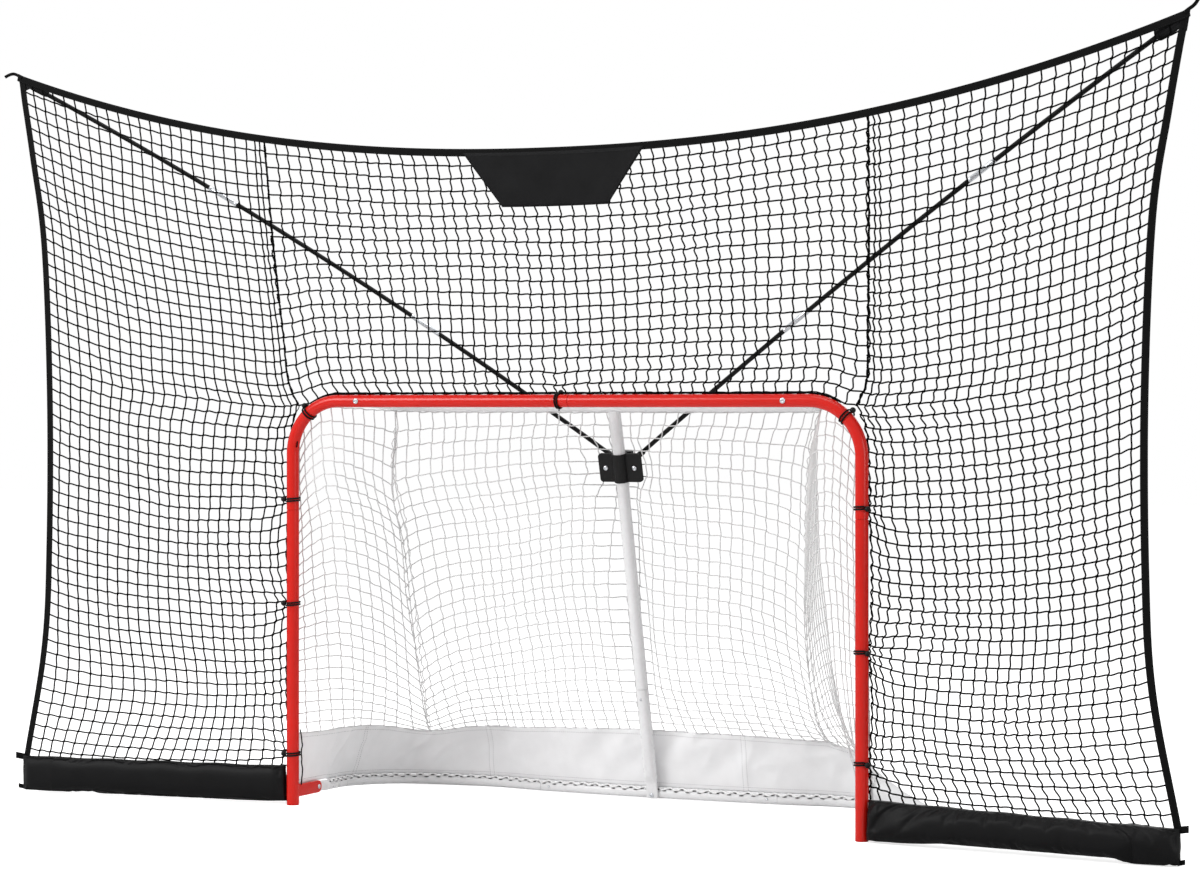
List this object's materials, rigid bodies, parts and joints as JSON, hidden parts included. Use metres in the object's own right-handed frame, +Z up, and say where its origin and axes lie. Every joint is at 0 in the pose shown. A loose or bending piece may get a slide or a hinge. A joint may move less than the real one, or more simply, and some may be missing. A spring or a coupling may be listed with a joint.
{
  "type": "hockey goal",
  "caption": "Steel-framed hockey goal with a white net, and a black net backstop held up over and beside its mouth by two jointed poles.",
  "frame": {"origin": "middle of the footprint, on the floor", "axes": "+X to the right seen from in front of the mouth, +Y backwards, away from the shooter, +Z up"},
  "size_m": [3.8028, 0.8163, 2.268],
  "materials": {
    "red_powder_coat": "semi-gloss",
    "white_powder_coat": "semi-gloss",
    "bright_steel": "bright",
    "black_plastic": "matt",
    "black_fibreglass": "satin",
    "black_webbing": "woven",
    "black_oxford_cloth": "woven",
    "black_net": "knotted",
    "black_elastic": "matt",
    "white_net": "knotted",
    "pale_grey_cloth": "woven"
  },
  "bodies": {
    "goal": {"corner_tube_left": "red_powder_coat", "corner_tube_right": "red_powder_coat", "post_left": "red_powder_coat", "post_right": "red_powder_coat", "foot_cap_left": "red_powder_coat", "foot_cap_right": "red_powder_coat", "base_tube_left": "white_powder_coat", "base_tube_right": "white_powder_coat", "base_tube_rear": "white_powder_coat", "back_post_lower": "white_powder_coat", "back_post_upper": "white_powder_coat", "top_rail": "white_powder_coat", "ear_bolt_left": "bright_steel", "ear_bolt_right": "bright_steel", "rail_bolt_left": "bright_steel", "rail_bolt_right": "bright_steel", "post_foot_bolt": "bright_steel", "bracket_screw_left": "bright_steel", "bracket_screw_right": "bright_steel", "ferrule_left_1": "bright_steel", "ferrule_left_2": "bright_steel", "ferrule_right_1": "bright_steel", "ferrule_right_2": "bright_steel", "bracket_front": "black_plastic", "bracket_rear": "black_plastic", "pole_left_1": "black_fibreglass", "pole_left_2": "black_fibreglass", "pole_left_3": "black_fibreglass", "pole_right_1": "black_fibreglass", "pole_right_2": "black_fibreglass", "pole_right_3": "black_fibreglass", "border_top": "black_webbing", "border_left": "black_webbing", "border_right": "black_webbing", "banner": "black_oxford_cloth", "skirt_left": "black_oxford_cloth", "skirt_right": "black_oxford_cloth", "corner_pocket_left": "black_oxford_cloth", "corner_pocket_right": "black_oxford_cloth", "net_wing_left": "black_net", "net_wing_right": "black_net", "net_centre": "black_net", "ball_tie_left_1": "black_elastic", "ball_tie_left_2": "black_elastic", "ball_tie_left_3": "black_elastic", "ball_tie_right_1": "black_elastic", "ball_tie_right_2": "black_elastic", "ball_tie_right_3": "black_elastic", "ball_tie_bend_left": "black_elastic", "ball_tie_bend_right": "black_elastic", "ball_tie_crossbar": "black_elastic", "goal_net_back": "white_net", "goal_net_left": "white_net", "goal_net_right": "white_net", "goal_net_top": "white_net", "hem_cord": "white_net", "net_band": "pale_grey_cloth"},
    "left_button": {"snap_button_left": "bright_steel"},
    "right_button": {"snap_button_right": "bright_steel"},
    "post_button": {"snap_button_post": "bright_steel"}
  },
  "joints": [
    {"name": "left_button_press", "type": "slide", "parent": "goal", "child": "left_button", "axis": [0, 1, 0], "range_m": [0, 0.005], "stiffness_N_per_m": 800},
    {"name": "right_button_press", "type": "slide", "parent": "goal", "child": "right_button", "axis": [0, 1, 0], "range_m": [0, 0.005], "stiffness_N_per_m": 800},
    {"name": "post_button_press", "type": "slide", "parent": "goal", "child": "post_button", "axis": [0, 0.9767, 0.2147], "range_m": [0, 0.005], "stiffness_N_per_m": 800}
  ]
}
